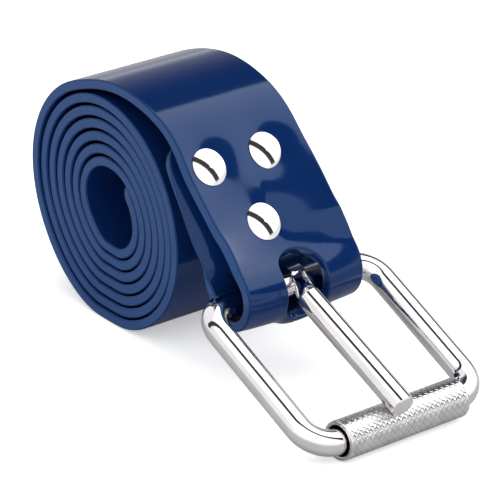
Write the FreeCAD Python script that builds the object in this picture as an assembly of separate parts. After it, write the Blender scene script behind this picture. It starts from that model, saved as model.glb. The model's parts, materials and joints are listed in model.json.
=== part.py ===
import FreeCAD, Part

# Rubber dive weight belt with a wire buckle, standing on the edge of its coil.
#
# The strap is one long band of rubber.  Most of it is wound into a coil, its outer end comes
# over the top as a flap, folds round the back bar of the buckle and is riveted to itself.
# The buckle is a closed wire frame.  A prong swings on its back bar and a knurled roller
# turns on its front bar.
#
# Frame: X towards the buckle, Y across the strap, Z up.  The origin is on the floor, in the
# middle of the footprint.  While the parts are being built X is counted from the flap's
# rivet row instead, and every part is moved to the origin at the end.

import math
import os

from FreeCAD import Base, Placement, Rotation

# ---- strap ----
STRAP_WIDTH = 50.0
STRAP_THICKNESS = 3.5
RIVET_ROW = (1.65, 67.66)       # centre of the front layer at the upper two rivets (X, Z)
FLAP_SLOPE = -49.2              # heading of the riveted stretch, degrees from horizontal

# ---- coil ----
COIL_CENTRE = (-37.9, 40.3)     # X, Z
COIL_RADIUS = 39.45             # centre line of the strap where the coil begins
COIL_START_ANGLE = 108.6        # degrees, where the flap leaves the coil
COIL_STEP = 0.024               # turns between points of the coil
INNER_COIL_STEP = 0.016         # the same where the bend is tight
INNER_COIL_FROM = 4.0           # turns from the outer end
COIL_TURNS = 6.9
COIL_PITCH = 3.85               # how much the radius shrinks per turn
COIL_OVAL = 3.38                # how far the long half axis is longer than the mean radius
COIL_OVAL_FADE = 0.20           # loss of that per turn
COIL_OVAL_ANGLE = 123.0         # direction of the long axis
COIL_SLACK = 0.40               # extra room per turn on one side of the coil, where it is wound loosely
COIL_SLACK_ANGLE = 115.0        # direction of that side
FLAT_SOFTNESS = 0.7             # how gently the round turns pass into the bottom flattened by the weight
FLAT_SINK = 0.130               # lets the softened bend come down to the floor

# ---- flap and fold ----
CROWN_RADIUS = 41.25            # bend of the strap as it comes over the top of the coil
CROWN_FIRST_ANGLE = 93.0        # where that bend takes over from the coil
STRAIGHT_ABOVE_ROW = 4.0
RIVET_SPACING_ALONG = 22.4      # from the upper two rivets down to the third
FOLD_CENTRE = (26.7, 31.7)      # middle of the round end of the fold (X, Z)
FOLD_INSIDE_RADIUS = 7.2
NECK_RADIUS_FRONT = 18.0        # reverse bends where the fold closes up under the third rivet
NECK_RADIUS_BACK = 9.0
LAYER_GAP = 0.2                 # between the two riveted layers
TAIL_ABOVE_ROW = 12.0           # the folded layer ends this far above the upper two rivets

# ---- rivets ----
RIVET_SPACING_ACROSS = 24.4
RIVET_OFFSET = -3.7             # the rivets sit to one side of the strap's middle
RIVET_HEAD_RADIUS = 6.4
RIVET_HEAD_HEIGHT = 1.7
RIVET_HEAD_RIM = 0.5
RIVET_SHANK_RADIUS = 2.4
WASHER_RADIUS = 4.7
WASHER_THICKNESS = 1.0
PEENED_RADIUS = 3.4
PEENED_HEIGHT = 0.8
SEAT_GAP = 0.03                 # between a rivet's faces and the rubber

# ---- slot for the prong, and holes for its tip ----
SLOT_WIDTH = 17.8
SLOT_OFFSET = 0.75              # from the strap's middle to the slot's
SLOT_BELOW_RIVET = 12.5         # its upper end, counted from the lower rivet
SLOT_END_ANGLE = -50.0          # its lower end in the fold, degrees from horizontal
SLOT_END_CORNER = 6.5           # radius of its lower corners; the upper end is fully round
HOLE_RADIUS = 5.0
HOLE_SPACING = 30.0
FIRST_HOLE = 92.0               # from the inner end of the strap
HOLE_COUNT = 10
HOLE_MARGIN = 1.5               # kept round a hole while it is cut out of its turn alone

# ---- buckle ----
WIRE_RADIUS = 4.4
BACK_BAR = (27.0, 31.3)         # axis of the bar inside the fold (X, Z)
BUCKLE_LENGTH = 61.3            # from the back bar's axis to the front bar's axis
BUCKLE_HALF_WIDTH = 35.8        # from the middle to a side rail's axis
CORNER_RADIUS = 9.5
ROLLER_RADIUS = 6.67
ROLLER_BORE_RADIUS = 5.3
ROLLER_LENGTH = 52.0
ROLLER_CHAMFER = 0.35

# ---- prong ----
PRONG_OFFSET = -5.0             # over the roller it sits to one side of the buckle's middle
PRONG_RADIUS = 4.2
PRONG_OVERHANG = 2.9            # beyond the roller's axis
PRONG_CHAMFER = 0.4
CURL_THICKNESS = 2.05
CURL_WIDTH = 5.6
CURL_OFFSET = 2.4               # the curl sits to the other side
CURL_CLEARANCE = 0.1
CURL_SWEEP = 285.0              # degrees of the curl round the back bar
NECK_LENGTH = 13.5              # where the flat end has grown into the round rod
ROOT_OFFSET = -3.9              # the rod's axis there, across the buckle
ROOT_HEIGHT = 8.8               # and above the back bar's axis
PLATE_SQUARENESS = 4.0          # power of the neck's outline below: 2 is round, higher is squarer
RIDGE_SHARPNESS = 1.5           # power of its outline above: 1 is a straight-sided ridge
ROUND = 2.0
JOIN = 0.4                      # how far neighbouring stretches of the prong run into each other
JOIN_INSET = 0.02
ROD_JOIN = 1.0                  # how far the rod reaches back over the neck
ROD_STEP = 0.35                 # how far the rod stands proud of the neck there
REST_GAP = 0.05                 # between the prong and the roller

BUCKLE_ANGLE = math.degrees(math.asin((ROLLER_RADIUS - BACK_BAR[1]) / BUCKLE_LENGTH))
PRONG_HEIGHT = ROLLER_RADIUS + REST_GAP + PRONG_RADIUS
FOLD_RADIUS = FOLD_INSIDE_RADIUS + STRAP_THICKNESS / 2
SLOT_DEPTH = STRAP_THICKNESS / 2 + 0.6
ALL_ROUND = 360.0

# ---- fineness of the curves and cutters ----
POINT_SPACING = 3.0             # between points of the flap's centre line
STRETCH = 24.0                  # length of strap that shares one smooth outline curve
SIDE_STEPS = 8                  # points on each of those curves
SLOT_SECTIONS = 24
SLOT_END_SHARE = 0.04           # keeps the slot's first and last section from shrinking to nothing
NECK_POINTS = 24
NECK_SECTIONS = 8
CUT_OVERSHOOT = 1.0             # how far a drill reaches beyond the surfaces it goes through


def direction(angle):
    """Unit vector in the XZ plane, angle in degrees from +X towards +Z."""
    return math.cos(math.radians(angle)), math.sin(math.radians(angle))


def moved(point, heading, along, out=0.0):
    """Point shifted along a heading and to its left."""
    ahead = direction(heading)
    left = direction(heading + 90)
    return (point[0] + along * ahead[0] + out * left[0], point[1] + along * ahead[1] + out * left[1])


def arc_points(centre, radius, first_angle, last_angle, spacing):
    """Evenly spaced points on an arc, both ends included."""
    length = abs(math.radians(last_angle - first_angle)) * radius
    count = max(2, round(length / spacing))
    points = []
    for index in range(count + 1):
        ray = direction(first_angle + (last_angle - first_angle) * index / count)
        points.append((centre[0] + radius * ray[0], centre[1] + radius * ray[1]))
    return points


def line_points(start, end, spacing):
    """Evenly spaced points from start to end, both included."""
    count = max(2, round(math.dist(start, end) / spacing))
    return [(start[0] + (end[0] - start[0]) * index / count, start[1] + (end[1] - start[1]) * index / count)
            for index in range(count + 1)]


def coil_radius(turn):
    """Radius of the strap's centre line in the coil, turn 0 being the outer end."""
    angle = COIL_START_ANGLE + ALL_ROUND * turn
    oval = (COIL_OVAL - COIL_OVAL_FADE * turn) * math.cos(math.radians(2 * (angle - COIL_OVAL_ANGLE)))
    slack = COIL_SLACK * max(0.0, math.cos(math.radians(angle - COIL_SLACK_ANGLE))) ** 2
    return COIL_RADIUS - (COIL_PITCH + slack) * turn + oval


def coil_point(turn):
    """Centre line of the strap in the coil, all turns pushed up alike over the flattened bottom."""
    ray = direction(COIL_START_ANGLE + ALL_ROUND * turn)
    radius = coil_radius(turn)
    if ray[1] < 0:
        room = (COIL_CENTRE[1] - STRAP_THICKNESS / 2 + FLAT_SINK) / -ray[1]
        excess = coil_radius(turn % 1) - room
        radius -= (excess + math.hypot(excess, FLAT_SOFTNESS)) / 2
    return COIL_CENTRE[0] + radius * ray[0], COIL_CENTRE[1] + radius * ray[1]


def coil_points():
    """Centre line from the inner end to where the flap leaves, closer together where the bend is tight."""
    points = []
    turn = COIL_TURNS
    while turn > COIL_STEP:
        points.append(coil_point(turn))
        turn -= INNER_COIL_STEP if turn > INNER_COIL_FROM else COIL_STEP
    return points


def neck_and_fold(side):
    """Half of the fold seen from the riveted stretch.

    Returns the reverse bend's centre and radius, the distance along the riveted stretch at
    which it starts, and its angle.  side is +1 for the front layer, -1 for the back layer.
    """
    third_rivet = moved(RIVET_ROW, FLAP_SLOPE, RIVET_SPACING_ALONG)
    ahead = direction(FLAP_SLOPE)
    left = direction(FLAP_SLOPE + 90)
    offset = (FOLD_CENTRE[0] - third_rivet[0], FOLD_CENTRE[1] - third_rivet[1])
    fold_along = offset[0] * ahead[0] + offset[1] * ahead[1]
    fold_out = offset[0] * left[0] + offset[1] * left[1]
    layer_out = 0.0 if side > 0 else -(STRAP_THICKNESS + LAYER_GAP)
    bend = NECK_RADIUS_FRONT if side > 0 else NECK_RADIUS_BACK
    centre_out = layer_out + side * bend
    across = centre_out - fold_out
    reach = bend + FOLD_RADIUS
    start = fold_along - math.sqrt(reach ** 2 - across ** 2)
    centre = moved(third_rivet, FLAP_SLOPE, start, centre_out)
    turn = math.degrees(math.acos(abs(across) / reach))
    return centre, bend, start, turn


def flap_points(spacing):
    """Centre line of the flap, the fold and the layer that is folded back."""
    crown_start = moved(RIVET_ROW, FLAP_SLOPE, -STRAIGHT_ABOVE_ROW)
    crown_centre = moved(crown_start, FLAP_SLOPE, 0, -CROWN_RADIUS)
    points = arc_points(crown_centre, CROWN_RADIUS, CROWN_FIRST_ANGLE, FLAP_SLOPE + 90, spacing)

    third_rivet = moved(RIVET_ROW, FLAP_SLOPE, RIVET_SPACING_ALONG)
    front_centre, front_bend, front_start, front_turn = neck_and_fold(+1)
    front_end = moved(third_rivet, FLAP_SLOPE, front_start)
    points += line_points(crown_start, front_end, spacing)[1:]
    points += arc_points(front_centre, front_bend, FLAP_SLOPE - 90, FLAP_SLOPE - 90 + front_turn, spacing)[1:]

    back_centre, back_bend, back_start, back_turn = neck_and_fold(-1)
    fold_first = FLAP_SLOPE + 90 + front_turn
    fold_last = FLAP_SLOPE - 90 - back_turn
    points += arc_points(FOLD_CENTRE, FOLD_RADIUS, fold_first, fold_last, spacing / 2)[1:]
    points += arc_points(back_centre, back_bend, FLAP_SLOPE + 90 - back_turn, FLAP_SLOPE + 90,
                         spacing / 2)[1:]

    back_out = -(STRAP_THICKNESS + LAYER_GAP)
    back_low = moved(third_rivet, FLAP_SLOPE, back_start, back_out)
    back_high = moved(crown_start, FLAP_SLOPE, 0, back_out)
    points += line_points(back_low, back_high, spacing)[1:]
    tail_turn = math.degrees((TAIL_ABOVE_ROW - STRAIGHT_ABOVE_ROW) / (CROWN_RADIUS + back_out))
    points += arc_points(crown_centre, CROWN_RADIUS + back_out, FLAP_SLOPE + 90, FLAP_SLOPE + 90 + tail_turn,
                         spacing)[1:]
    return points


def vector(point, y=0.0):
    return Base.Vector(point[0], y, point[1])


def beside(curve, parameter, distance):
    """Point to the left of a curve, and the curve's direction there."""
    place = curve.value(parameter)
    ahead = curve.tangent(parameter)[0]
    return Base.Vector(place.x - distance * ahead.z, 0, place.z + distance * ahead.x), ahead


def side_edges(curve, stops, distance):
    """Edges that run beside a curve from stop to stop, without a kink between them."""
    edges = []
    for first, last in zip(stops, stops[1:]):
        steps = [first + (last - first) * index / SIDE_STEPS for index in range(SIDE_STEPS + 1)]
        places = [beside(curve, step, distance) for step in steps]
        side = Part.BSplineCurve()
        side.interpolate(Points=[place for place, _ in places],
                         Tangents=[ahead * (last - first) for _, ahead in places],
                         TangentFlags=[True] + [False] * (SIDE_STEPS - 1) + [True])
        edges.append(side.toShape())
    return edges


def band(curve, stops, thickness, width):
    """Solid band of an even thickness whose middle follows a curve from the first stop to the last."""
    left = side_edges(curve, stops, thickness / 2)
    right = side_edges(curve, stops, -thickness / 2)
    ends = []
    for stop in (stops[0], stops[-1]):
        start, _ = beside(curve, stop, thickness / 2)
        end, _ = beside(curve, stop, -thickness / 2)
        ends.append(Part.makeLine(start, end))
    outline = Part.Wire(Part.__sortEdges__(left + right + ends))
    solid = Part.Face(outline).extrude(Base.Vector(0, width, 0))
    solid.translate(Base.Vector(0, -width / 2, 0))
    return solid


def strap_curve():
    """Centre line of the whole strap, from the end inside the coil to the folded end."""
    curve = Part.BSplineCurve()
    curve.interpolate([vector(point) for point in coil_points() + flap_points(POINT_SPACING)])
    return curve


def parameter_at(curve, distance):
    """Curve parameter at a distance from the curve's start."""
    return curve.parameterAtDistance(distance, curve.FirstParameter)


def tail_hole(curve, distance):
    """Hole for the prong's tip through one turn of the coil, without marking its neighbours."""
    reach = HOLE_RADIUS + HOLE_MARGIN
    stops = [parameter_at(curve, distance - reach), parameter_at(curve, distance + reach)]
    patch = band(curve, stops, COIL_PITCH - 0.1, 2 * reach)
    parameter = parameter_at(curve, distance)
    ahead = curve.tangent(parameter)[0]
    outward = Base.Vector(-ahead.z, 0, ahead.x)
    start = curve.value(parameter) - outward * STRAP_THICKNESS
    punch = Part.makeCylinder(HOLE_RADIUS, 2 * STRAP_THICKNESS, start, outward)
    return patch.common(punch)


def slot_half_width(from_top, from_bottom):
    """Half the slot's width at a distance from each of its ends."""
    half = SLOT_WIDTH / 2
    narrowest = half
    for gap, corner in ((from_top, half), (from_bottom, SLOT_END_CORNER)):
        short = max(0.0, corner - gap)
        narrowest = min(narrowest, half - corner + math.sqrt(corner ** 2 - short ** 2))
    return narrowest


def slot_cutter(curve):
    """Long hole that follows the strap down the front and into the fold."""
    third_rivet = moved(RIVET_ROW, FLAP_SLOPE, RIVET_SPACING_ALONG)
    top = vector(moved(third_rivet, FLAP_SLOPE, SLOT_BELOW_RIVET))
    ray = direction(SLOT_END_ANGLE)
    bottom = vector((FOLD_CENTRE[0] + FOLD_RADIUS * ray[0], FOLD_CENTRE[1] + FOLD_RADIUS * ray[1]))
    first = curve.length(curve.FirstParameter, curve.parameter(top))
    last = curve.length(curve.FirstParameter, curve.parameter(bottom))
    sections = []
    for index in range(SLOT_SECTIONS + 1):
        step = SLOT_END_SHARE + (1 - 2 * SLOT_END_SHARE) * index / SLOT_SECTIONS
        share = 0.5 - 0.5 * math.cos(math.pi * step)
        distance = first + (last - first) * share
        half_width = slot_half_width(distance - first, last - distance)
        parameter = parameter_at(curve, distance)
        outer, _ = beside(curve, parameter, SLOT_DEPTH)
        inner, _ = beside(curve, parameter, -SLOT_DEPTH)
        left = Base.Vector(0, SLOT_OFFSET - half_width, 0)
        right = Base.Vector(0, SLOT_OFFSET + half_width, 0)
        corners = [outer + left, outer + right, inner + right, inner + left, outer + left]
        sections.append(Part.makePolygon(corners))
    return Part.makeLoft(sections, True)


def rivet_places():
    """Name and centre (distance below the upper row, Y) of each rivet."""
    half = RIVET_SPACING_ACROSS / 2
    return [
        ("left", 0.0, RIVET_OFFSET - half),
        ("right", 0.0, RIVET_OFFSET + half),
        ("lower", RIVET_SPACING_ALONG, RIVET_OFFSET),
    ]


def on_rivet_axis(shape, along, y, out):
    """Puts a shape made along +Z on a rivet's axis, +Z pointing out of the front layer."""
    foot = moved(RIVET_ROW, FLAP_SLOPE, along, out)
    shape.Placement = Placement(vector(foot, y), Rotation(Base.Vector(0, 1, 0), -FLAP_SLOPE))
    return shape


def strap():
    curve = strap_curve()
    length = curve.length()
    count = math.ceil(length / STRETCH)
    stops = [parameter_at(curve, length * index / count) for index in range(count)] + [curve.LastParameter]
    solid = band(curve, stops, STRAP_THICKNESS, STRAP_WIDTH)
    cuts = [slot_cutter(curve)]
    for index in range(HOLE_COUNT):
        cuts.append(tail_hole(curve, FIRST_HOLE + HOLE_SPACING * index))
    depth = 2 * STRAP_THICKNESS + LAYER_GAP + 2 * CUT_OVERSHOOT
    for _, along, y in rivet_places():
        hole = Part.makeCylinder(RIVET_SHANK_RADIUS + SEAT_GAP, depth)
        cuts.append(on_rivet_axis(hole, along, y, STRAP_THICKNESS / 2 + CUT_OVERSHOOT - depth))
    return solid.cut(cuts)


def rivet(along, y):
    """Domed head, shank through both layers and the end peened over the washer."""
    dome_height = RIVET_HEAD_HEIGHT - RIVET_HEAD_RIM
    sphere = (RIVET_HEAD_RADIUS ** 2 + dome_height ** 2) / (2 * dome_height)
    seat = STRAP_THICKNESS / 2 + SEAT_GAP
    rim = Part.makeCylinder(RIVET_HEAD_RADIUS, RIVET_HEAD_RIM)
    dome = Part.makeSphere(sphere, Base.Vector(0, 0, RIVET_HEAD_HEIGHT - sphere))
    bounds = Part.makeCylinder(RIVET_HEAD_RADIUS, dome_height, Base.Vector(0, 0, RIVET_HEAD_RIM))
    through_layers = 2 * STRAP_THICKNESS + LAYER_GAP + 2 * SEAT_GAP
    washer_depth = through_layers + WASHER_THICKNESS + SEAT_GAP
    shank = Part.makeCylinder(RIVET_SHANK_RADIUS, washer_depth, Base.Vector(0, 0, -washer_depth))
    peened = Part.makeCylinder(PEENED_RADIUS, PEENED_HEIGHT, Base.Vector(0, 0, -washer_depth - PEENED_HEIGHT))
    solid = rim.fuse([dome.common(bounds), shank, peened]).removeSplitter()
    return on_rivet_axis(solid, along, y, seat)


def rivet_washer(along, y):
    """Round washer under the peened end, on the back of the folded layer."""
    back = -(1.5 * STRAP_THICKNESS + LAYER_GAP + SEAT_GAP + WASHER_THICKNESS)
    disc = Part.makeCylinder(WASHER_RADIUS, WASHER_THICKNESS)
    hole = Part.makeCylinder(RIVET_SHANK_RADIUS + SEAT_GAP, WASHER_THICKNESS)
    return on_rivet_axis(disc.cut(hole), along, y, back)


def on_buckle(shape):
    """Puts a shape made on the back bar's axis, +X towards the front bar, in its place."""
    shape.Placement = Placement(vector(BACK_BAR), Rotation(Base.Vector(0, 1, 0), -BUCKLE_ANGLE))
    return shape


def buckle_frame():
    """Closed wire frame: four straight bars and four round corners."""
    solids = []
    across = 2 * (BUCKLE_HALF_WIDTH - CORNER_RADIUS)
    along = BUCKLE_LENGTH - 2 * CORNER_RADIUS
    for x in (0, BUCKLE_LENGTH):
        start = Base.Vector(x, -across / 2, 0)
        solids.append(Part.makeCylinder(WIRE_RADIUS, across, start, Base.Vector(0, 1, 0)))
    for y in (-BUCKLE_HALF_WIDTH, BUCKLE_HALF_WIDTH):
        start = Base.Vector(CORNER_RADIUS, y, 0)
        solids.append(Part.makeCylinder(WIRE_RADIUS, along, start, Base.Vector(1, 0, 0)))
    corners = [(1, 1, 0), (0, 1, 90), (0, -1, 180), (1, -1, 270)]
    for at_front, side, first_angle in corners:
        corner = Part.makeTorus(CORNER_RADIUS, WIRE_RADIUS, Base.Vector(0, 0, 0), Base.Vector(0, 0, 1),
                                0, ALL_ROUND, 90)
        corner.rotate(Base.Vector(0, 0, 0), Base.Vector(0, 0, 1), first_angle)
        x = BUCKLE_LENGTH - CORNER_RADIUS if at_front else CORNER_RADIUS
        corner.translate(Base.Vector(x, side * across / 2, 0))
        solids.append(corner)
    return on_buckle(solids[0].fuse(solids[1:]).removeSplitter())


def roller():
    """Sleeve that turns on the front bar."""
    start = Base.Vector(BUCKLE_LENGTH, -ROLLER_LENGTH / 2, 0)
    sleeve = Part.makeCylinder(ROLLER_RADIUS, ROLLER_LENGTH, start, Base.Vector(0, 1, 0))
    sleeve = sleeve.makeChamfer(ROLLER_CHAMFER, [edge for edge in sleeve.Edges if edge.Closed])
    bore = Part.makeCylinder(ROLLER_BORE_RADIUS, ROLLER_LENGTH, start, Base.Vector(0, 1, 0))
    return on_buckle(sleeve.cut(bore))


def neck_section(share):
    """Closed outline of the prong where its flat end has grown a share of the way to the round rod.

    Its underside goes from flat to round, its upper side from a forged ridge to round.
    """
    ease = share * share * (3 - 2 * share)
    grown = PRONG_RADIUS - ROD_STEP
    half_width = CURL_WIDTH / 2 + (grown - CURL_WIDTH / 2) * ease - JOIN_INSET
    half_height = CURL_THICKNESS / 2 + (grown - CURL_THICKNESS / 2) * ease - JOIN_INSET
    curl_middle = WIRE_RADIUS + CURL_CLEARANCE + CURL_THICKNESS / 2
    middle = curl_middle + (ROOT_HEIGHT - curl_middle) * ease
    offset = CURL_OFFSET + (ROOT_OFFSET - CURL_OFFSET) * ease
    below = PLATE_SQUARENESS + (ROUND - PLATE_SQUARENESS) * ease
    above = RIDGE_SHARPNESS + (ROUND - RIDGE_SHARPNESS) * ease
    points = []
    for index in range(NECK_POINTS):
        cosine, sine = direction(ALL_ROUND * (index + 0.5) / NECK_POINTS)
        power = 2 / (above if sine > 0 else below)
        y = half_width * math.copysign(abs(cosine) ** power, cosine)
        z = half_height * math.copysign(abs(sine) ** power, sine)
        points.append(Base.Vector(share * (NECK_LENGTH + JOIN) - JOIN, offset + y, middle + z))
    outline = Part.BSplineCurve()
    outline.interpolate(points, True)
    return Part.Wire(outline.toShape())


def prong():
    """Round rod, a little aslant, whose flattened end is curled round the back bar."""
    inner = WIRE_RADIUS + CURL_CLEARANCE
    corner = Base.Vector(inner, CURL_OFFSET - CURL_WIDTH / 2, 0)
    section = Part.makePlane(CURL_THICKNESS, CURL_WIDTH, corner, Base.Vector(0, 0, 1))
    curl = section.revolve(Base.Vector(0, 0, 0), Base.Vector(0, 1, 0), -CURL_SWEEP)
    curl.rotate(Base.Vector(0, 0, 0), Base.Vector(0, 1, 0), -90)
    neck = Part.makeLoft([neck_section(index / NECK_SECTIONS) for index in range(NECK_SECTIONS + 1)], True)
    slope = math.atan((PRONG_HEIGHT - ROOT_HEIGHT) / (BUCKLE_LENGTH - NECK_LENGTH))
    root = Base.Vector(NECK_LENGTH, ROOT_OFFSET, ROOT_HEIGHT)
    over_roller = Base.Vector(BUCKLE_LENGTH, PRONG_OFFSET, PRONG_HEIGHT / math.cos(slope))
    ahead = (over_roller - root).normalize()
    length = root.distanceToPoint(over_roller) + PRONG_OVERHANG + ROD_JOIN
    rod = Part.makeCylinder(PRONG_RADIUS, length, root - ahead * ROD_JOIN, ahead)
    tip_edges = [edge for edge in rod.Edges if edge.Closed and edge.CenterOfMass.x > BUCKLE_LENGTH]
    rod = rod.makeChamfer(PRONG_CHAMFER, tip_edges)
    return on_buckle(curl.fuse([neck, rod]))


def build():
    """All parts by node name, in their places, X still counted from the rivet row."""
    parts = {
        "strap": strap(),
        "buckle_frame": buckle_frame(),
        "prong": prong(),
        "roller": roller(),
    }
    for name, along, y in rivet_places():
        parts["rivet_" + name] = rivet(along, y)
        parts["rivet_washer_" + name] = rivet_washer(along, y)
    return parts


def main():
    parts = build()
    box = Base.BoundBox()
    for shape in parts.values():
        box.add(shape.optimalBoundingBox(False))
    to_origin = Base.Vector(-(box.XMin + box.XMax) / 2, 0, 0)
    os.makedirs("parts", exist_ok=True)
    for name, shape in parts.items():
        shape.translate(to_origin)
        shape.exportStep(os.path.join("parts", name + ".step"))
        size = shape.optimalBoundingBox(False)
        print(f"{name}: {len(shape.Solids)} solid, valid {shape.isValid()}, volume {shape.Volume:.0f} mm3,",
              f"X {size.XMin:.2f} to {size.XMax:.2f}, Y {size.YMin:.2f} to {size.YMax:.2f},",
              f"Z {size.ZMin:.2f} to {size.ZMax:.2f}")
    front_bar = vector(moved(BACK_BAR, BUCKLE_ANGLE, BUCKLE_LENGTH))
    print("back bar", vector(BACK_BAR) + to_origin, "front bar", front_bar + to_origin)


main()
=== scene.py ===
import json
import math

import bpy
import numpy as np
from mathutils import Matrix, Vector


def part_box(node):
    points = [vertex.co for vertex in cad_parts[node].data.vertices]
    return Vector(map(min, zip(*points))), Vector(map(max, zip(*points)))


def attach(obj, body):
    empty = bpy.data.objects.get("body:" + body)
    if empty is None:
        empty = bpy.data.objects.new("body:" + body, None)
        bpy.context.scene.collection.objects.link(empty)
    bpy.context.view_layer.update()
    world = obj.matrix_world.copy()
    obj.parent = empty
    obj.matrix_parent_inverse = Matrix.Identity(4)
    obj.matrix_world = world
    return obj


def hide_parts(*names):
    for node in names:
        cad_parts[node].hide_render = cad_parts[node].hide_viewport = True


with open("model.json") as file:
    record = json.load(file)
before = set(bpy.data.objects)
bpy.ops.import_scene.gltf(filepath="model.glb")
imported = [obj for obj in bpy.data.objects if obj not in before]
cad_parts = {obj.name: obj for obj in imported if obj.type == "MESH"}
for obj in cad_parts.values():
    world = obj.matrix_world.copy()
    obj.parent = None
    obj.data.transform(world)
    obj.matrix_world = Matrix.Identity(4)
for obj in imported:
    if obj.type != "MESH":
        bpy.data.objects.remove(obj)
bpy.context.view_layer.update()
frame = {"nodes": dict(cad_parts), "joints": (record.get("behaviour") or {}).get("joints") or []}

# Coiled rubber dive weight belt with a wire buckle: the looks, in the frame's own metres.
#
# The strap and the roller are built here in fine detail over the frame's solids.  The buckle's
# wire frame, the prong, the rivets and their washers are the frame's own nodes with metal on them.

MM = 0.001


def box_mm(node):
    """Lowest and highest corner of a node, in millimetres."""
    low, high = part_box(node)
    return np.array(low) / MM, np.array(high) / MM


def joint(name):
    return next(entry for entry in frame["joints"] if entry["name"] == name)


# ---- sizes taken from the frame, in millimetres ----
STRAP_LOW, STRAP_HIGH = box_mm("strap")
ROLLER_LOW, ROLLER_HIGH = box_mm("roller")
BACK_BAR = np.array(joint("buckle_swing")["pos_m"]) / MM
FRONT_BAR = np.array(joint("roller_spin")["pos_m"]) / MM
STRAP_WIDTH = STRAP_HIGH[1] - STRAP_LOW[1]
ROLLER_RADIUS = (ROLLER_HIGH[0] - ROLLER_LOW[0]) / 2

# ---- strap: the same path as the solid, counted from the rivet row ----
BACK_BAR_FROM_ROW = 27.0
PATH_SHIFT = BACK_BAR[0] - BACK_BAR_FROM_ROW
THICKNESS = 3.5
RIVET_ROW = np.array((1.65, 67.66))
FLAP_SLOPE = math.radians(-49.2)
COIL_CENTRE = np.array((-37.9, 40.3))
COIL_RADIUS = 39.45
COIL_START_ANGLE = math.radians(108.6)
COIL_TURNS = 6.9
COIL_LAST_TURN = 0.02           # where the coil hands over to the bridge to the crown
COIL_POINTS = 2200
COIL_PITCH = 3.85
COIL_OVAL = 3.38
COIL_OVAL_FADE = 0.20
COIL_OVAL_ANGLE = math.radians(123.0)
COIL_SLACK = 0.40
COIL_SLACK_ANGLE = math.radians(115.0)
FLAT_SOFTNESS = 0.7
FLAT_SINK = 0.130
CROWN_RADIUS = 41.25
CROWN_FIRST_ANGLE = math.radians(93.0)
STRAIGHT_ABOVE_ROW = 4.0
RIVET_SPACING_ALONG = 22.4
RIVET_SPACING_ACROSS = 24.4
RIVET_OFFSET = -3.7
FOLD_CENTRE = np.array((26.7, 31.7))
FOLD_INSIDE_RADIUS = 7.2
FOLD_RADIUS = FOLD_INSIDE_RADIUS + THICKNESS / 2
NECK_RADIUS_FRONT = 18.0
NECK_RADIUS_BACK = 9.0
LAYER_GAP = 0.2
TAIL_ABOVE_ROW = 12.0
SLOT_WIDTH = 17.8
SLOT_OFFSET = 0.75
SLOT_BELOW_RIVET = 12.5
SLOT_END_ANGLE = math.radians(-50.0)
SLOT_END_CORNER = 6.5
HOLE_RADIUS = 5.0
HOLE_SPACING = 30.0
FIRST_HOLE = 92.0
HOLE_COUNT = 10

# ---- what only the looks need ----
EDGE_ROUND = 0.5                # rounding of the strap's edges
ROUND_STEPS = 3                 # facets of that rounding
END_CORNER = 7.0                # rounded corners at the strap's ends
INNER_RECESS = 2.6              # how far the innermost turn has slid into the coil
RIVET_DIMPLE = 2.0              # how deep the rivets pull the rubber in
DIMPLE_REACH = 11.0             # how far round a rivet that is felt
DIMPLE_SINK = 0.4               # the rubber under the heads, so that it just meets their rims
RIGHT_LIFT = 1.7                # how far the flap's right side stands off beside the rivets
LIFT_SPREAD = (-9.0, -6.0, -3.0, 0.0, 3.0, 6.0, 9.0)    # lifts go square to the mean heading here
TONGUE = 2.0                    # how far the rubber below the slot stands out
GRID_STEP = 1.0                 # between the mesh's points in plain stretches
FINE_SHARE = 0.7                # of that step, round the fold
PATH_STEP = 0.25                # between the points of the strap's path
SOFTENING = 1.4                 # over which the path's sudden changes of bend are rounded off
HOLE_PATCH = 7.0                # the mesh is cut out this far round a hole's middle
SLOT_PATCH = (-12.0, 14.0)      # and from here to here across the strap round the slot
SLOT_PATCH_END = 4.0            # and this far beyond its ends
COLUMNS_REACH = 24.0            # evenly spaced columns of the mesh on each side of the middle


# =====================================================================================
# path of the strap
# =====================================================================================

def ray(angle):
    return np.array((math.cos(angle), math.sin(angle)))


def moved(point, heading, along, out=0.0):
    """Point shifted along a heading and to its left."""
    return point + along * ray(heading) + out * ray(heading + math.pi / 2)


def arc(centre, radius, first, last, step):
    """Evenly spaced points on an arc, both ends included."""
    count = max(2, round(abs(last - first) * radius / step))
    return [centre + radius * ray(first + (last - first) * index / count) for index in range(count + 1)]


def line(start, end, step):
    """Evenly spaced points from start to end, both included."""
    count = max(2, round(math.dist(start, end) / step))
    return [start + (end - start) * index / count for index in range(count + 1)]


def coil_radius(turn):
    angle = COIL_START_ANGLE + 2 * math.pi * turn
    oval = (COIL_OVAL - COIL_OVAL_FADE * turn) * math.cos(2 * (angle - COIL_OVAL_ANGLE))
    slack = COIL_SLACK * max(0.0, math.cos(angle - COIL_SLACK_ANGLE)) ** 2
    return COIL_RADIUS - (COIL_PITCH + slack) * turn + oval


def coil_point(turn):
    """Centre line of the strap in the coil, all turns pushed up alike over the flattened bottom."""
    towards = ray(COIL_START_ANGLE + 2 * math.pi * turn)
    radius = coil_radius(turn)
    if towards[1] < 0:
        room = (COIL_CENTRE[1] - THICKNESS / 2 + FLAT_SINK) / -towards[1]
        excess = coil_radius(turn % 1) - room
        radius -= (excess + math.hypot(excess, FLAT_SOFTNESS)) / 2
    return COIL_CENTRE + radius * towards


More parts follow.
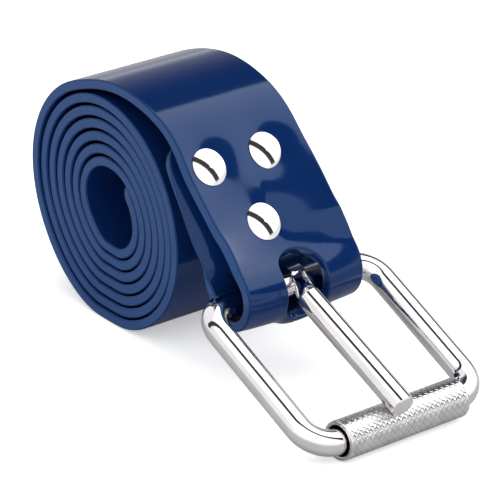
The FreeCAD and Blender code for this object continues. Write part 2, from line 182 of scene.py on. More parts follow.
def neck(side):
    """Reverse bend between the riveted stretch and the fold: centre, radius, start and turn."""
    third_rivet = moved(RIVET_ROW, FLAP_SLOPE, RIVET_SPACING_ALONG)
    offset = FOLD_CENTRE - third_rivet
    fold_along = offset @ ray(FLAP_SLOPE)
    fold_out = offset @ ray(FLAP_SLOPE + math.pi / 2)
    layer_out = 0.0 if side > 0 else -(THICKNESS + LAYER_GAP)
    bend = NECK_RADIUS_FRONT if side > 0 else NECK_RADIUS_BACK
    centre_out = layer_out + side * bend
    across = centre_out - fold_out
    reach = bend + FOLD_RADIUS
    start = fold_along - math.sqrt(reach ** 2 - across ** 2)
    return moved(third_rivet, FLAP_SLOPE, start, centre_out), bend, start, math.acos(abs(across) / reach)


def flap_points(step):
    """Centre line of the flap, the fold and the folded layer, and the places worth a name on it."""
    quarter = math.pi / 2
    crown_start = moved(RIVET_ROW, FLAP_SLOPE, -STRAIGHT_ABOVE_ROW)
    crown_centre = moved(crown_start, FLAP_SLOPE, 0, -CROWN_RADIUS)
    third_rivet = moved(RIVET_ROW, FLAP_SLOPE, RIVET_SPACING_ALONG)
    front_centre, front_bend, front_start, front_turn = neck(+1)
    back_centre, back_bend, back_start, back_turn = neck(-1)
    back_out = -(THICKNESS + LAYER_GAP)
    back_low = moved(third_rivet, FLAP_SLOPE, back_start, back_out)
    back_high = moved(crown_start, FLAP_SLOPE, 0, back_out)
    tail_turn = (TAIL_ABOVE_ROW - STRAIGHT_ABOVE_ROW) / (CROWN_RADIUS + back_out)
    front_end = moved(third_rivet, FLAP_SLOPE, front_start)

    points = arc(crown_centre, CROWN_RADIUS, CROWN_FIRST_ANGLE, FLAP_SLOPE + quarter, step)
    points += line(crown_start, front_end, step)[1:]
    points += arc(front_centre, front_bend, FLAP_SLOPE - quarter, FLAP_SLOPE - quarter + front_turn, step)[1:]
    points += arc(FOLD_CENTRE, FOLD_RADIUS, FLAP_SLOPE + quarter + front_turn,
                  FLAP_SLOPE - quarter - back_turn, step / 2)[1:]
    points += arc(back_centre, back_bend, FLAP_SLOPE + quarter - back_turn, FLAP_SLOPE + quarter,
                  step / 2)[1:]
    points += line(back_low, back_high, step)[1:]
    points += arc(crown_centre, CROWN_RADIUS + back_out, FLAP_SLOPE + quarter,
                  FLAP_SLOPE + quarter + tail_turn, step)[1:]
    places = {
        "row": RIVET_ROW,
        "third": third_rivet,
        "back_third": moved(third_rivet, FLAP_SLOPE, 0, back_out),
        "back_row": moved(RIVET_ROW, FLAP_SLOPE, 0, back_out),
        "slot_top": moved(third_rivet, FLAP_SLOPE, SLOT_BELOW_RIVET),
        "slot_end": FOLD_CENTRE + FOLD_RADIUS * ray(SLOT_END_ANGLE),
        "fold_back": FOLD_CENTRE + FOLD_RADIUS * ray(math.pi),
        "fold_front": FOLD_CENTRE + FOLD_RADIUS * ray(math.radians(20)),
        "crown": crown_start,
    }
    return points, places


def bridge(start, start_heading, end, end_heading, count):
    """Smooth curve between two places with given headings, ends left out."""
    reach = math.dist(start, end)
    first = ray(start_heading) * reach
    last = ray(end_heading) * reach
    points = []
    for index in range(1, count):
        share = index / count
        points.append((2 * share ** 3 - 3 * share ** 2 + 1) * start
                      + (share ** 3 - 2 * share ** 2 + share) * first
                      + (3 * share ** 2 - 2 * share ** 3) * end
                      + (share ** 3 - share ** 2) * last)
    return points


class Path:
    """Centre line of the strap, by distance from its inner end."""

    def __init__(self):
        coil = [coil_point(turn) for turn in np.linspace(COIL_TURNS, COIL_LAST_TURN, COIL_POINTS)]
        flap, places = flap_points(0.5)
        leaving = coil[-1] - coil[-2]
        arriving = flap[1] - flap[0]
        joined = bridge(coil[-1], math.atan2(leaving[1], leaving[0]), flap[0],
                        math.atan2(arriving[1], arriving[0]), 40)
        points = np.array(coil + joined + flap)
        distance = np.concatenate(([0], np.cumsum(np.hypot(*np.diff(points, axis=0).T))))
        self.length = distance[-1]
        self.coil_end = distance[len(coil) - 1]
        self.at = np.arange(0, self.length, PATH_STEP)
        even = np.column_stack([np.interp(self.at, distance, points[:, axis]) for axis in (0, 1)])
        self.points = self.softened(even)
        self.places = {name: self.nearest(place) for name, place in places.items()}

    def softened(self, points):
        """Rounds off sudden changes of bend, as rubber does, leaving the ends where they are."""
        reach = 16
        kernel = np.exp(-0.5 * (np.arange(-reach, reach + 1) * PATH_STEP / SOFTENING) ** 2)
        kernel /= kernel.sum()
        before = 2 * points[0] - points[reach:0:-1]
        after = 2 * points[-1] - points[-2:-reach - 2:-1]
        padded = np.vstack((before, points, after))
        return np.column_stack([np.convolve(padded[:, axis], kernel, "valid") for axis in (0, 1)])

    def nearest(self, place):
        """Distance along the strap of the flap's point nearest to a place."""
        late = self.at > self.coil_end
        gaps = np.hypot(*(self.points[late] - place).T)
        return self.at[late][np.argmin(gaps)]

    def place(self, distance):
        """Points of the path, which runs on straight beyond both of its ends."""
        inside = np.clip(distance, 0, self.at[-1])
        beyond = (distance - inside)[:, None]
        before_start = (self.points[1] - self.points[0]) / (self.at[1] - self.at[0])
        after_end = (self.points[-1] - self.points[-2]) / (self.at[1] - self.at[0])
        spot = np.column_stack([np.interp(inside, self.at, self.points[:, axis]) for axis in (0, 1)])
        return spot + np.where(beyond < 0, before_start, after_end) * beyond

    def heading(self, distance):
        reach = 0.3
        ahead = self.place(distance + reach) - self.place(distance - reach)
        return ahead / np.hypot(*ahead.T)[:, None]


PATH = Path()


# =====================================================================================
# how the rubber leaves the plain path: edges that lift, dimples, sliding turns
# =====================================================================================

def smooth_table(distance, table):
    """Smooth curve through (distance, value) pairs."""
    xs = np.array([pair[0] for pair in table])
    ys = np.array([pair[1] for pair in table])
    slopes = np.gradient(ys, xs)
    slopes[0] = slopes[-1] = 0
    index = np.clip(np.searchsorted(xs, distance) - 1, 0, len(xs) - 2)
    span = xs[index + 1] - xs[index]
    t = np.clip((distance - xs[index]) / span, 0, 1)
    return ((2 * t ** 3 - 3 * t ** 2 + 1) * ys[index] + (t ** 3 - 2 * t ** 2 + t) * span * slopes[index]
            + (3 * t ** 2 - 2 * t ** 3) * ys[index + 1] + (t ** 3 - t ** 2) * span * slopes[index + 1])


def edge_lift(distance):
    """How far the strap's edges stand off the plain path, to the outside of its bend."""
    third = PATH.places["third"]
    back_third = PATH.places["back_third"]
    table = [
        (third - 34, 0.0), (third - 22, 0.0), (third - 10, 0.6), (third, 1.95), (third + 5.6, 3.5),
        (third + 11.8, 3.6), (third + 15.7, 2.3), (third + 20, 1.1), (PATH.places["fold_front"], 0.0),
        (PATH.places["fold_front"] + 12, -0.8), (PATH.places["slot_end"], -0.8),
        (PATH.places["fold_back"], 0.0),
        (back_third - 14, 3.8), (back_third - 6, 6.0), (back_third + 2, 6.4), (back_third + 11, 5.4),
        (PATH.places["back_row"], 4.2), (PATH.length, 2.4),
    ]
    return smooth_table(distance, table)


def across_share(y):
    """0 at the line of the rivets, 1 at the strap's edges."""
    half = STRAP_WIDTH / 2
    reach = np.where(y < RIVET_OFFSET, half + RIVET_OFFSET, half - RIVET_OFFSET)
    return (np.abs(y - RIVET_OFFSET) / reach) ** 2.2


def rivet_places():
    half = RIVET_SPACING_ACROSS / 2
    return [("row", RIVET_OFFSET - half), ("row", RIVET_OFFSET + half), ("third", RIVET_OFFSET)]


def swell(distance, y):
    """Rubber bulging between the rivets, which pull dimples into it."""
    free = np.ones_like(distance)
    for name, rivet_y in rivet_places():
        gap = np.hypot(distance - PATH.places[name], y - rivet_y)
        free *= 1 - np.exp(-(gap / DIMPLE_REACH) ** 2)
    near = np.exp(-((distance - PATH.places["row"] - 8) / 30) ** 4)
    return (RIVET_DIMPLE * free - DIMPLE_SINK) * near


def right_lift(distance, y):
    """The flap's right side leans away from the rivets, from the upper two down to the fold."""
    third = PATH.places["third"]
    along = smooth_table(distance, [(third - 44, 0.0), (third - 30, 0.0), (third - 14, 1.0), (third + 8, 0.6),
                                    (third + 22, 0.0), (third + 30, 0.0)])
    beyond = np.clip((y - 1.0) / 24.0, 0, 1)
    return RIGHT_LIFT * along * beyond


def tongue(distance, y):
    """Rubber just below the slot, which springs out because nothing bends it there."""
    below = (distance - PATH.places["slot_end"] - 3.0) / 5.0
    across = (y - SLOT_OFFSET) / (0.42 * SLOT_WIDTH)
    return TONGUE * np.exp(-below ** 2 - across ** 4)


def middle_surface(distance, y):
    """Middle of the rubber at a distance along the strap and a place across it, in mm."""
    spot = PATH.place(distance)
    heading = sum(PATH.heading(distance + shift) for shift in LIFT_SPREAD)
    heading /= np.linalg.norm(heading, axis=1)[:, None]
    lift = edge_lift(distance) * across_share(y) + swell(distance, y)
    lift += right_lift(distance, y) + tongue(distance, y)
    turns_left = np.clip(1 - distance / PATH.coil_end, 0, 1)
    x = spot[:, 0] - heading[:, 1] * lift + PATH_SHIFT
    z = spot[:, 1] + heading[:, 0] * lift
    return np.column_stack((x, y + INNER_RECESS * turns_left ** 0.7, z))


def on_strap(flat):
    """Maps (distance, y, height over the middle) to the frame, in mm."""
    distance, y, height = flat.T
    step = 0.25
    along = middle_surface(distance + step, y) - middle_surface(distance - step, y)
    across = middle_surface(distance, y + step) - middle_surface(distance, y - step)
    normal = np.cross(across, along)
    normal /= np.linalg.norm(normal, axis=1)[:, None]
    return middle_surface(distance, y) + normal * height[:, None]


# =====================================================================================
# the strap, drawn flat with its slot and holes and then bent
# =====================================================================================

class FlatSheet:
    """Quads in the plane (distance along the strap, place across it)."""

    def __init__(self, rows, columns):
        self.rows = rows
        self.columns = columns
        self.points = [(row, column) for row in rows for column in columns]
        self.taken = set()
        self.quads = []

    def index(self, row, column):
        return row * len(self.columns) + column

    def cut(self, low, high, start, end, middle, half, corner):
        """Hole from start to end, half wide on each side of its middle, in the patch low to high.

        Its first end is fully round, its last end has rounded corners.
        """
        first_row = int(np.argmin(np.abs(self.rows - low[0])))
        last_row = int(np.argmin(np.abs(self.rows - high[0])))
        first_column = int(np.argmin(np.abs(self.columns - low[1])))
        last_column = int(np.argmin(np.abs(self.columns - high[1])))
        for row in range(first_row, last_row):
            for column in range(first_column, last_column):
                self.taken.add((row, column))
        rim = [(row, first_column) for row in range(first_row, last_row)]
        rim += [(last_row, column) for column in range(first_column, last_column)]
        rim += [(row, last_column) for row in range(last_row, first_row, -1)]
        rim += [(first_row, column) for column in range(last_column, first_column, -1)]
        outer = [self.index(row, column) for row, column in rim]
        previous = outer
        for share in (0.72, 0.48, 0.28, 0.14, 0.05, 0.0):
            ring = []
            for index in outer:
                place = np.array(self.points[index])
                radius = half if place[0] < (start + end) / 2 else corner
                side = half - radius
                centre = np.array((min(max(place[0], start + half), end - corner),
                                   min(max(place[1], middle - side), middle + side)))
                away = (place - centre) / np.linalg.norm(place - centre)
                edge = centre + away * (radius + EDGE_ROUND)
                self.points.append(tuple(edge + (place - edge) * share))
                ring.append(len(self.points) - 1)
            for here in range(len(outer)):
                there = (here + 1) % len(outer)
                self.quads.append((previous[here], previous[there], ring[there], ring[here]))
            previous = ring

    def fill(self):
        for row in range(len(self.rows) - 1):
            for column in range(len(self.columns) - 1):
                if (row, column) not in self.taken:
                    self.quads.append((self.index(row, column), self.index(row + 1, column),
                                       self.index(row + 1, column + 1), self.index(row, column + 1)))

    def compact(self):
        """Points and quads without the points that no quad uses."""
        quads = np.array(self.quads)
        used = np.unique(quads)
        renumber = np.full(len(self.points), -1)
        renumber[used] = np.arange(len(used))
        return np.array(self.points)[used], renumber[quads]


def boundary_loops(quads):
    """Closed loops of point numbers round the sheet and its holes, sheet on the left."""
    edges = {}
    for quad in quads:
        for here, there in zip(quad, np.roll(quad, -1)):
            edges[(int(here), int(there))] = True
    following = {here: there for here, there in edges if (there, here) not in edges}
    loops = []
    while following:
        start = next(iter(following))
        loop = [start]
        there = following.pop(start)
        while there != start:
            loop.append(there)
            there = following.pop(there)
        loops.append(loop)
    return loops


def flat_strap():
    """The strap's flat outline with the prong's slot and the tail's holes."""
    first = EDGE_ROUND
    last = PATH.length - EDGE_ROUND
    fine = [0.0, 0.3, 0.7, 1.3, 2.0, 3.0, 4.5, 6.0]
    hole_rows = [FIRST_HOLE + HOLE_SPACING * index for index in range(HOLE_COUNT)]
    first_slot_row = PATH.places["slot_top"] - SLOT_PATCH_END
    last_slot_row = PATH.places["slot_end"] + SLOT_PATCH_END
    stops = [first + fine[-1]]
    for centre in hole_rows:
        stops += [centre - HOLE_PATCH, centre + HOLE_PATCH]
    stops += [PATH.coil_end - 8, first_slot_row, last_slot_row, last - fine[-1]]
    rows = [first + value for value in fine[:-1]]
    for start, end in zip(stops, stops[1:]):
        step = GRID_STEP * (FINE_SHARE if start >= first_slot_row else 1.0)
        count = math.ceil((end - start) / step)
        rows += [start + (end - start) * index / count for index in range(count)]
    rows += [last - value for value in fine[::-1]]
    half = STRAP_WIDTH / 2 - EDGE_ROUND
    inner = list(np.arange(-COLUMNS_REACH, COLUMNS_REACH + 0.01, GRID_STEP))
    columns = [-half, -half + 0.2] + inner + [half - 0.2, half]
    sheet = FlatSheet(np.array(rows), np.array(columns))
    for centre in hole_rows:
        sheet.cut((centre - HOLE_PATCH, -HOLE_PATCH), (centre + HOLE_PATCH, HOLE_PATCH),
                  centre - HOLE_RADIUS, centre + HOLE_RADIUS, 0.0, HOLE_RADIUS, HOLE_RADIUS)
    sheet.cut((first_slot_row, SLOT_PATCH[0]), (last_slot_row, SLOT_PATCH[1]), PATH.places["slot_top"],
              PATH.places["slot_end"], SLOT_OFFSET, SLOT_WIDTH / 2, SLOT_END_CORNER)
    sheet.fill()
    points, quads = sheet.compact()
    from_end = np.minimum(points[:, 0] - first, last - points[:, 0])
    short = np.clip(END_CORNER - from_end, 0, END_CORNER)
    narrower = END_CORNER - np.sqrt(END_CORNER ** 2 - short ** 2)
    points[:, 1] *= 1 - narrower / (STRAP_WIDTH / 2)
    return points, quads


def strap_mesh():
    """Closed mesh of the strap, rounded along every edge, with 1 for its sawn faces and 0 for the rest."""
    flat, quads = flat_strap()
    count = len(flat)
    half = THICKNESS / 2
    outer = np.column_stack((flat, np.full(count, half)))
    inner = np.column_stack((flat, np.full(count, -half)))
    points = [outer, inner]
    total = 2 * count
    faces = [tuple(quad) for quad in quads]
    faces += [tuple(int(index) + count for index in quad[::-1]) for quad in quads]
    sawn = [0] * len(faces)
    profile = []
    for number in range(ROUND_STEPS):
        turn = math.pi / 2 * (number + 1) / ROUND_STEPS
        profile.append((EDGE_ROUND * math.sin(turn), half - EDGE_ROUND * (1 - math.cos(turn))))
    profile += [(EDGE_ROUND, 0.45 * half), (EDGE_ROUND, 0.0)]
    profile += [(out, -height) for out, height in profile[-2::-1]]
    for loop in boundary_loops(quads):
        rim = flat[loop]
        outline = np.ptp(rim[:, 0]) > 2 * SLOT_WIDTH
        along = np.roll(rim, -1, axis=0) - np.roll(rim, 1, axis=0)
        away = np.column_stack((along[:, 1], -along[:, 0]))
        away /= np.linalg.norm(away, axis=1)[:, None]
        size = len(loop)
        rings = [list(loop)]
        for out, height in profile:
            points.append(np.column_stack((rim + away * out, np.full(size, height))))
            rings.append(list(range(total, total + size)))
            total += size
        rings.append([index + count for index in loop])
        for number, (first, second) in enumerate(zip(rings, rings[1:])):
            for k in range(size):
                after = (k + 1) % size
                faces.append((first[after], first[k], second[k], second[after]))
            flat_band = ROUND_STEPS <= number < len(rings) - 1 - ROUND_STEPS
            sawn += [int(outline and flat_band)] * size
    outwards = [face[::-1] for face in faces]
    return np.vstack(points), outwards, sawn


def new_object(name, points, faces, materials, body):
    """Mesh object from points in mm, smooth, riding on a body."""
    mesh = bpy.data.meshes.new(name)
    mesh.from_pydata([tuple(point) for point in np.asarray(points) * MM], [], faces)
    mesh.update()
    mesh.polygons.foreach_set("use_smooth", [True] * len(mesh.polygons))
    for material in materials:
        mesh.materials.append(material)
    thing = bpy.data.objects.new(name, mesh)
    bpy.context.scene.collection.objects.link(thing)
    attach(thing, body)
    return thing


def even_shading(thing):
    """Keeps wide faces flat-looking beside their rounded edges."""
    modifier = thing.modifiers.new("even_shading", "WEIGHTED_NORMAL")
    modifier.mode = "FACE_AREA"
    modifier.weight = 70


def make_strap():
    """The rubber strap, moulded on its faces and sawn along its edges."""
    flat, faces, sawn = strap_mesh()
    strap = new_object("rubber_strap", on_strap(flat), faces, [moulded_rubber(), cut_rubber()], "belt")
    mesh = strap.data
    mesh.polygons.foreach_set("material_index", sawn)
    attribute = mesh.attributes.new("along_strap", "FLOAT_VECTOR", "POINT")
    attribute.data.foreach_set("vector", (flat * MM).astype(np.float32).ravel())
    even_shading(strap)
    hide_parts("strap")


# =====================================================================================
# metal pieces
# =====================================================================================

KNURL_PITCH = 1.7
KNURL_DEPTH = 0.13
GROOVE_NARROWNESS = 0.4         # below 1 the grooves get thinner and the diamonds wider
ROLLER_BORE = 5.3
ROLLER_CHAMFER = 0.35
RIM_BAND = 0.9                  # plain bright band at each end of the roller
ROLLER_AROUND = 288             # points of the mesh round the roller
ROLLER_STATIONS = 260           # and along its knurl


def knurl(angle, y):
    """Height of the knurl: diamonds between two families of slanting grooves."""
    height = np.zeros_like(angle)
    for slant in (1, -1):
        spacing = KNURL_PITCH * math.sqrt(2)
        turns = round(2 * math.pi * ROLLER_RADIUS / spacing)
        phase = angle * turns + slant * y * 2 * math.pi / spacing
        valley = np.abs(np.sin(phase / 2)) ** GROOVE_NARROWNESS
        height = np.minimum(height, (valley - 1) * KNURL_DEPTH)
    return height


def make_roller():
    """Sleeve with a criss-cross knurl, bright rims and a smooth bore."""
    around = ROLLER_AROUND
    half = (ROLLER_HIGH[1] - ROLLER_LOW[1]) / 2
    angles = np.arange(around) * 2 * math.pi / around
    stations = list(np.linspace(-half + RIM_BAND, half - RIM_BAND, ROLLER_STATIONS))
    profile = [(ROLLER_BORE, -half + 0.5), (ROLLER_BORE, -half + 0.15), (ROLLER_BORE + 0.15, -half)]
    profile += [(ROLLER_RADIUS - ROLLER_CHAMFER, -half), (ROLLER_RADIUS - 0.1, -half + 0.1)]
    profile += [(ROLLER_RADIUS, -half + ROLLER_CHAMFER), (ROLLER_RADIUS, -half + RIM_BAND - 0.1)]
    knurled_from = len(profile)
    profile += [(ROLLER_RADIUS, y) for y in stations]
    knurled_to = len(profile)
    profile += [(radius, -y) for radius, y in profile[knurled_from - 1::-1]]
    profile += [(ROLLER_BORE, y) for y in np.linspace(half - 8, -half + 8, 6)]
    rings = []
    depths = []
    for index, (radius, y) in enumerate(profile):
        knurled = knurled_from <= index < knurled_to
        height = knurl(angles, np.full(around, y)) if knurled else np.zeros(around)
        depths.append(-height / KNURL_DEPTH)
        out = radius + height
        rings.append(np.column_stack((FRONT_BAR[0] + out * np.cos(angles), np.full(around, y),
                                      FRONT_BAR[2] + out * np.sin(angles))))
    faces = []
    for ring in range(len(profile)):
        after = (ring + 1) % len(profile)
        for k in range(around):
            beside = (k + 1) % around
            faces.append((ring * around + k, after * around + k,
                          after * around + beside, ring * around + beside))
    roller = new_object("knurled_roller", np.vstack(rings), faces, [knurled_metal()], "roller")
    # depth of each point in the knurl, which the roller's material turns into painted shade in the grooves
    depth = roller.data.attributes.new("groove", "FLOAT", "POINT")
    depth.data.foreach_set("value", np.concatenate(depths).astype(np.float32))
    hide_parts("roller")


def dress_cad_nodes():
    """Metal on the frame's own nodes."""
    polished = polished_metal()
    plain = plain_metal()
    for name, node in frame["nodes"].items():
        if name in ("strap", "roller"):
            continue
        material = plain if name.startswith("rivet_washer") else polished
        if not node.material_slots:
            node.data.materials.append(material)
        for entry in node.material_slots:
            entry.material = material


# =====================================================================================
# materials
# =====================================================================================

class Nodes:
    """Short way to lay out a node material."""

    def __init__(self, name):
        self.material = bpy.data.materials.new(name)
        self.material.use_nodes = True
        self.tree = self.material.node_tree
        self.principled = self.tree.nodes["Principled BSDF"]

    def add(self, kind, inputs=None, **settings):
        node = self.tree.nodes.new(kind)
        for key, value in settings.items():
            setattr(node, key, value)
        for key, value in (inputs or {}).items():
            if isinstance(value, bpy.types.NodeSocket):
                self.tree.links.new(value, node.inputs[key])
            else:
                node.inputs[key].default_value = value
        return node

    def set(self, **inputs):
        for key, value in inputs.items():
            socket = self.principled.inputs[key.replace("_", " ")]
            if isinstance(value, bpy.types.NodeSocket):
                self.tree.links.new(value, socket)
            else:
                socket.default_value = value

    def noise(self, vector, scale, detail=4.0, roughness=0.5):
        return self.add("ShaderNodeTexNoise", {"Vector": vector, "Scale": scale, "Detail": detail,
                                               "Roughness": roughness}).outputs["Fac"]

    def range(self, value, low, high, to_low, to_high):
        return self.add("ShaderNodeMapRange", {"Value": value, "From Min": low, "From Max": high,
                                               "To Min": to_low, "To Max": to_high}).outputs["Result"]

    def mix(self, share, first, second):
        node = self.add("ShaderNodeMix", data_type="RGBA")
        for socket, value in ((node.inputs[0], share), (node.inputs[6], first), (node.inputs[7], second)):
            if isinstance(value, bpy.types.NodeSocket):
                self.tree.links.new(value, socket)
            else:
                socket.default_value = value
        return node.outputs[2]

    def scaled(self, vector, scale):
        return self.add("ShaderNodeMapping", {"Vector": vector, "Scale": scale}).outputs["Vector"]

    def bump(self, height, strength, distance, normal=None):
        inputs = {"Height": height, "Strength": strength, "Distance": distance}
        if normal is not None:
            inputs["Normal"] = normal
        return self.add("ShaderNodeBump", inputs).outputs["Normal"]


SHEEN_TINT = (0.42, 0.62, 0.95, 1)      # what the blue rubber mirrors looks blue too


def strap_coordinates(nodes):
    return nodes.add("ShaderNodeAttribute", attribute_name="along_strap").outputs["Vector"]


def moulded_rubber():
    """Deep blue glossy skin: faint clouding, a soft waviness and a little dust."""
    nodes = Nodes("moulded_rubber")
    place = strap_coordinates(nodes)
    cloud = nodes.noise(place, 60.0, 3.0)
    fine = nodes.noise(place, 900.0, 4.0)
    dust = nodes.range(nodes.noise(place, 420.0, 2.0), 0.76, 0.80, 0.0, 0.25)
    base = nodes.mix(cloud, (0.0020, 0.0150, 0.080, 1), (0.0032, 0.021, 0.100, 1))
    colour = nodes.mix(dust, base, (0.08, 0.12, 0.24, 1))
    rough = nodes.range(fine, 0.3, 0.7, 0.07, 0.12)
    waves = nodes.bump(nodes.noise(place, 35.0, 1.0), 0.25, 0.0003)
    grain = nodes.bump(fine, 0.12, 0.00002, waves)
    nodes.set(Base_Color=colour, Roughness=rough, IOR=1.5, Specular_Tint=SHEEN_TINT, Normal=grain)
    return nodes.material


def cut_rubber():
    """Sawn edge of the strap: paler and duller, with fine streaks along its length."""
    nodes = Nodes("cut_rubber")
    place = strap_coordinates(nodes)
    streaks = nodes.noise(nodes.scaled(place, (60.0, 60.0, 2500.0)), 1.0, 5.0, 0.65)
    cloud = nodes.noise(place, 150.0, 4.0)
    base = nodes.mix(streaks, (0.010, 0.039, 0.136, 1), (0.023, 0.069, 0.203, 1))
    colour = nodes.mix(nodes.range(cloud, 0.3, 0.7, 0.0, 0.5), base, (0.014, 0.047, 0.146, 1))
    nodes.set(Base_Color=colour, Roughness=nodes.range(streaks, 0.3, 0.7, 0.32, 0.5), IOR=1.5,
              Specular_Tint=SHEEN_TINT, Normal=nodes.bump(streaks, 0.35, 0.00008))
    return nodes.material


def metal(name, colour, rough_low, rough_high, scratch):
    """Bright steel with faint clouding and hairline scratches."""
    nodes = Nodes(name)
    place = nodes.add("ShaderNodeTexCoord").outputs["Object"]
    cloud = nodes.noise(place, 90.0, 5.0)
    hair = nodes.noise(nodes.scaled(place, (180.0, 2600.0, 900.0)), 1.0, 3.0)
    darker = tuple(channel * 0.88 for channel in colour[:3]) + (1,)
    nodes.set(Base_Color=nodes.mix(nodes.range(cloud, 0.35, 0.7, 0.0, 1.0), colour, darker), Metallic=1.0,
              Roughness=nodes.range(cloud, 0.3, 0.7, rough_low, rough_high),
              Normal=nodes.bump(hair, scratch, 0.00001))
    return nodes.material


def polished_metal():
    return metal("polished_steel_look", (0.84, 0.81, 0.82, 1), 0.04, 0.08, 0.12)


def plain_metal():
    return metal("plain_steel_look", (0.55, 0.55, 0.56, 1), 0.25, 0.4, 0.4)


def knurled_metal():
    """Steel like the rest, with painted shade darkening the knurl's grooves by their depth."""
    nodes = Nodes("knurled_steel_look")
    place = nodes.add("ShaderNodeTexCoord").outputs["Object"]
    cloud = nodes.noise(place, 240.0, 5.0)
    groove = nodes.add("ShaderNodeAttribute", attribute_name="groove").outputs["Fac"]
    worn = nodes.mix(nodes.range(cloud, 0.3, 0.7, 0.0, 1.0), (0.80, 0.785, 0.785, 1), (0.60, 0.59, 0.59, 1))
    # painted shade: the deeper a point lies in a knurl groove, the darker grey its colour
    colour = nodes.mix(nodes.range(groove, 0.35, 0.9, 0.0, 1.0), worn, (0.30, 0.30, 0.31, 1))
    nodes.set(Base_Color=colour, Metallic=1.0, Roughness=nodes.range(cloud, 0.3, 0.7, 0.14, 0.26))
    return nodes.material


# =====================================================================================
# studio
# =====================================================================================

WHITE_ALL_ROUND = 1.05
BRIGHT_PANEL = 2.3                      # the long soft box over the back right
FRONT_PANEL = 1.5                       # the one over the front
GAP_NORMAL = (0.695, -0.712, -0.098)    # the dark gap between them lies square to this
GAP_HALF_WIDTH = math.radians(6.3)
PANEL_LOW = 0.18                        # height of the soft boxes' lower edges, as a share of the sky
PANEL_END = math.radians(-21.5)         # where the panels end towards the back left
BACK_LIGHT = (math.radians(-35), math.radians(-80))     # where the dark beyond them grows lighter
BACK_FADE = 0.4                         # and how much lighter it gets


def make_world():
    """White room with two long soft boxes, a dark gap between them and a dark back left corner.

    Those show only in reflections: behind the belt the room is plain white from every side.
    """
    world = bpy.data.worlds.new("studio")
    bpy.context.scene.world = world
    world.use_nodes = True
    tree = world.node_tree

    def linked(kind, value, *others, **settings):
        node = tree.nodes.new(kind)
        for key, setting in settings.items():
            setattr(node, key, setting)
        for socket, entry in zip(node.inputs, (value,) + others):
            if isinstance(entry, bpy.types.NodeSocket):
                tree.links.new(entry, socket)
            else:
                socket.default_value = entry
        return node

    def calculate(operation, *values):
        return linked("ShaderNodeMath", *values, operation=operation).outputs[0]

    def rising(value, low, high):
        node = linked("ShaderNodeMapRange", value, low, high, 0.0, 1.0, interpolation_type="SMOOTHSTEP")
        return node.outputs[0]

    towards = tree.nodes.new("ShaderNodeTexCoord").outputs["Generated"]
    x, y, z = linked("ShaderNodeSeparateXYZ", towards).outputs
    across_gap = linked("ShaderNodeVectorMath", towards, GAP_NORMAL, operation="DOT_PRODUCT").outputs["Value"]
    lean = calculate("ARCTAN2", x, z)
    edge = math.radians(0.7)
    half_gap = math.sin(GAP_HALF_WIDTH)
    above = rising(z, PANEL_LOW, PANEL_LOW + 0.06)
    within = calculate("MULTIPLY", above, rising(lean, PANEL_END - edge, PANEL_END + edge))
    back_side = rising(calculate("MULTIPLY", across_gap, -1.0), half_gap - edge, half_gap + edge)
    front_side = rising(across_gap, half_gap - edge, half_gap + edge)
    in_gap = calculate("SUBTRACT", calculate("SUBTRACT", 1.0, back_side), front_side)
    beyond = calculate("SUBTRACT", 1.0, rising(lean, PANEL_END - edge, PANEL_END + edge))
    fading = calculate("MULTIPLY_ADD", rising(lean, BACK_LIGHT[1], BACK_LIGHT[0]), BACK_FADE, 1 - BACK_FADE)
    corner = calculate("MULTIPLY", calculate("MULTIPLY", beyond, fading),
                       calculate("MULTIPLY", rising(y, 0.1, 0.3), rising(z, 0.0, 0.2)))
    strength = WHITE_ALL_ROUND
    for side, brightness in ((back_side, BRIGHT_PANEL), (front_side, FRONT_PANEL)):
        on_panel = calculate("MULTIPLY", within, side)
        strength = calculate("ADD", strength, calculate("MULTIPLY", on_panel, brightness - WHITE_ALL_ROUND))
    dark = calculate("MAXIMUM", calculate("MULTIPLY", in_gap, above), corner)
    strength = calculate("MULTIPLY", strength, calculate("SUBTRACT", 1.0, calculate("MULTIPLY", dark, 0.95)))
    seen_directly = tree.nodes.new("ShaderNodeLightPath").outputs["Is Camera Ray"]
    strength = calculate("MAXIMUM", strength, seen_directly)
    background = tree.nodes["Background"]
    background.inputs["Color"].default_value = (1, 1, 1, 1)
    tree.links.new(strength, background.inputs["Strength"])


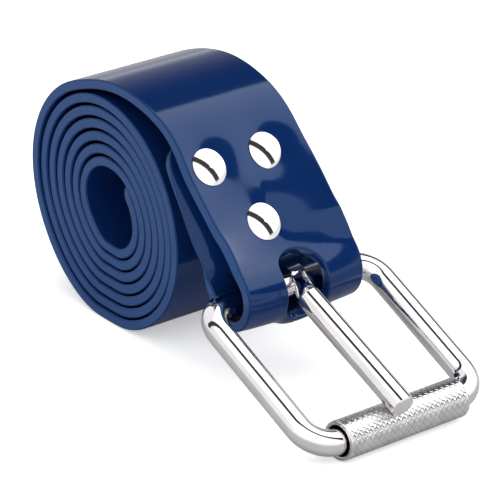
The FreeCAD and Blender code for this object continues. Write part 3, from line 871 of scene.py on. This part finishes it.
FLOOR_IN_MIRROR = (0.50, 0.50, 0.51, 1)  # the floor is dimmer in what the metal and the rubber mirror
FLOOR_GLOW = 0.40                        # keeps the shadow on the paper faint


def make_floor():
    mesh = bpy.data.meshes.new("floor")
    size = 6.0
    corners = [(-size, -size, 0), (size, -size, 0), (size, size, 0), (-size, size, 0)]
    mesh.from_pydata(corners, [], [(0, 1, 2, 3)])
    floor = bpy.data.objects.new("floor", mesh)
    bpy.context.scene.collection.objects.link(floor)
    floor.location.z = -0.0001
    nodes = Nodes("floor_paper")
    place = nodes.add("ShaderNodeTexCoord").outputs["Object"]
    paper = nodes.mix(nodes.noise(place, 3.0), (0.93, 0.93, 0.93, 1), (0.95, 0.95, 0.95, 1))
    mirrored = nodes.add("ShaderNodeLightPath").outputs["Is Glossy Ray"]
    shade = nodes.mix(mirrored, paper, FLOOR_IN_MIRROR)
    glow = nodes.range(nodes.add("ShaderNodeLightPath").outputs["Is Camera Ray"], 0.0, 1.0, 0.0, FLOOR_GLOW)
    nodes.set(Base_Color=shade, Roughness=0.9, Emission_Color=(1, 1, 1, 1), Emission_Strength=glow)
    nodes.principled.inputs["Specular IOR Level"].default_value = 0.1
    mesh.materials.append(nodes.material)


def make_camera():
    """A long lens, from the front right and a little above."""
    data = bpy.data.cameras.new("camera")
    data.sensor_width = 36.0
    data.lens = 261.5
    data.shift_x = 0.006
    data.clip_start = 0.05
    data.clip_end = 30.0
    camera = bpy.data.objects.new("camera", data)
    right = Vector((0.6574, 0.7510, 0.0608))
    up = Vector((-0.3604, 0.2425, 0.9006))
    back = Vector((0.6617, -0.6145, 0.4301))
    turn = Matrix((right, up, back)).transposed().to_4x4()
    place = Vector((803.0 + PATH_SHIFT, -739.0, 553.6)) * MM
    camera.matrix_world = Matrix.Translation(place) @ turn
    bpy.context.scene.collection.objects.link(camera)
    bpy.context.scene.camera = camera


def make_studio():
    make_world()
    make_floor()
    make_camera()
    bpy.context.scene.view_settings.view_transform = "Standard"


def main():
    make_strap()
    make_roller()
    dress_cad_nodes()
    make_studio()
    bpy.context.view_layer.update()


main()
